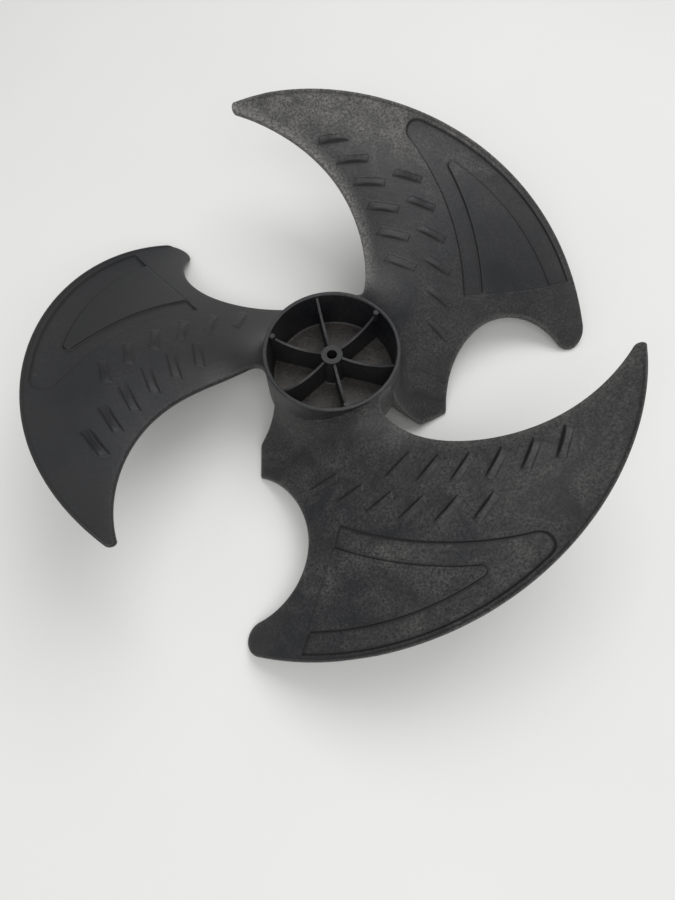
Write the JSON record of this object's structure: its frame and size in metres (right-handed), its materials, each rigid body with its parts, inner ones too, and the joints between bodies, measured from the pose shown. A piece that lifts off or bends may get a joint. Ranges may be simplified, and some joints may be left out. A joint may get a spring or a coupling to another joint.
{
  "type": "axial fan impeller",
  "caption": "Black moulded axial fan impeller: three forward-swept sickle blades with recessed panels and gills on a ribbed cup hub with a central bore.",
  "frame": {"origin": "centre of the bore on the boss's top face", "axes": "+Z along the bore, out of the open side of the hub cup; +X and +Y square to it, with the first blade's leading tip 110 degrees round from +X"},
  "size_m": [0.5514, 0.5519, 0.1669],
  "materials": {
    "black_plastic": "satin, moulded, with faint lighter mottling"
  },
  "bodies": {
    "root": {"impeller": "black_plastic"}
  },
  "joints": []
}
